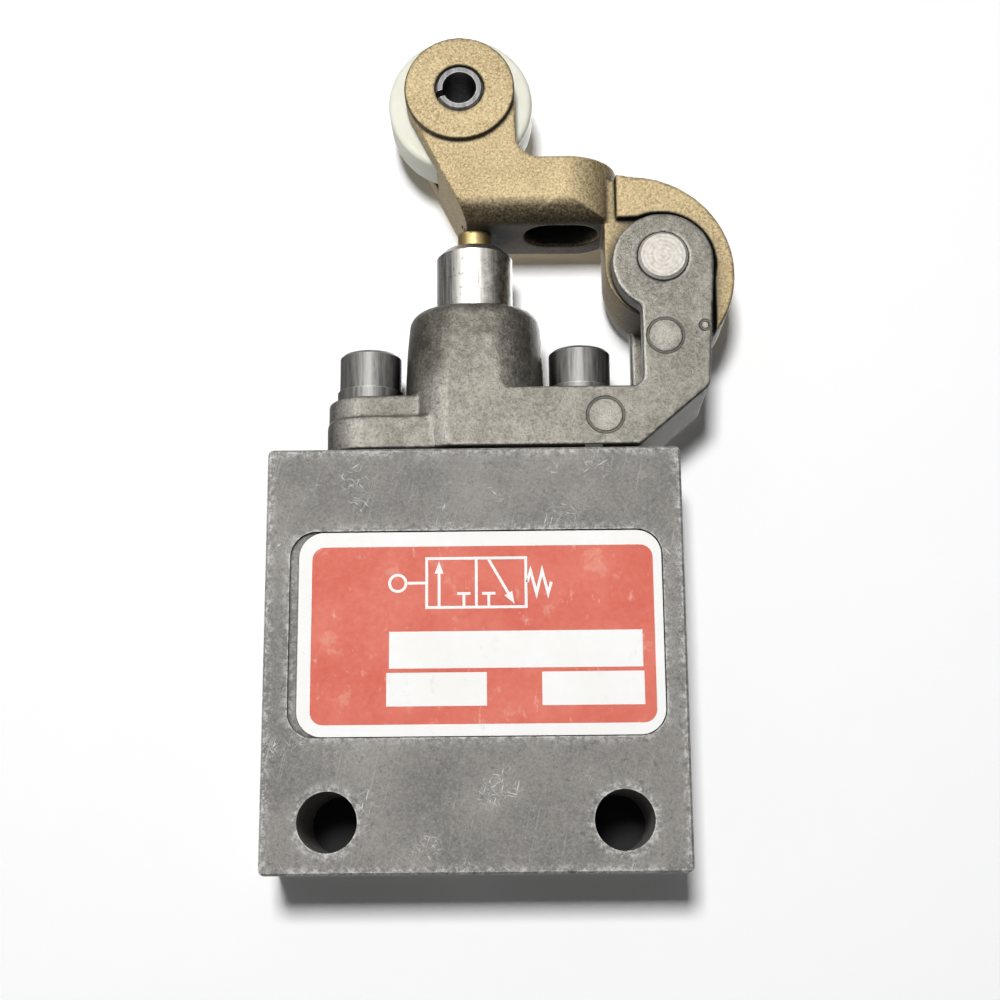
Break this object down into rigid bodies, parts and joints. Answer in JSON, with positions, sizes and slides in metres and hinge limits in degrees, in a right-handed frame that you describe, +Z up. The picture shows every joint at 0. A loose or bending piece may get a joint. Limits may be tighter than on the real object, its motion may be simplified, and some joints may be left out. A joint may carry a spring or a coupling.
{
  "type": "roller lever air valve",
  "caption": "Square pneumatic limit valve with a nylon roller on a bronze lever that presses a plunger in a domed head; ports on the sides and through holes for mounting.",
  "frame": {"origin": "midway between the two mounting holes, on the flat rear face of the body", "axes": "+Z up along the plunger, +Y out of the rear mounting face, +X towards the lever pivot"},
  "size_m": [0.0588, 0.0159, 0.1094],
  "materials": {
    "body_grey": "dull grey, scratched",
    "label_white": "white film",
    "label_red": "coral red print on the film",
    "plain_steel": "plain",
    "black_rubber": "matt",
    "stainless": "ground",
    "cast_grey": "as cast",
    "dark_steel": "black oxide",
    "bronze": "sand cast",
    "yellow_brass": "turned",
    "pale_steel": "ground",
    "ivory_nylon": "moulded nylon"
  },
  "bodies": {
    "valve": {"valve_body": "body_grey", "nameplate": "label_white", "end_plug": "plain_steel", "end_plug_seal": "black_rubber", "valve_sleeve": "stainless", "sleeve_seals": "black_rubber", "return_spring": "plain_steel", "head_gasket": "black_rubber", "head": "cast_grey", "head_screws": "dark_steel", "lock_washers": "dark_steel", "plunger_bush": "bronze", "plunger_seal": "black_rubber", "pivot_pin": "pale_steel"},
    "plunger_stem": {"plunger": "stainless", "spool": "stainless"},
    "lever_arm": {"lever": "bronze", "lever_button": "yellow_brass", "roller_pin": "dark_steel"},
    "roller_wheel": {"roller": "ivory_nylon"}
  },
  "joints": [
    {"name": "lever_pivot", "type": "hinge", "parent": "valve", "child": "lever_arm", "pos_m": [0.0241, -0.00794, 0.0701], "axis": [0, -1, 0], "range_deg": [0, 7]},
    {"name": "plunger_slide", "type": "slide", "parent": "valve", "child": "plunger_stem", "axis": [0, 0, -1], "range_m": [0, 0.003], "stiffness_N_per_m": 1000, "springref_m": -0.003, "deforming": ["return_spring"]},
    {"name": "roller_spin", "type": "hinge", "parent": "lever_arm", "child": "roller_wheel", "pos_m": [-0.0017, -0.00794, 0.0938], "axis": [0, -1, 0], "continuous": true}
  ],
  "couplings": [
    {"joint": "lever_pivot", "follows": "plunger_slide", "rad_per_m": 40.7}
  ]
}
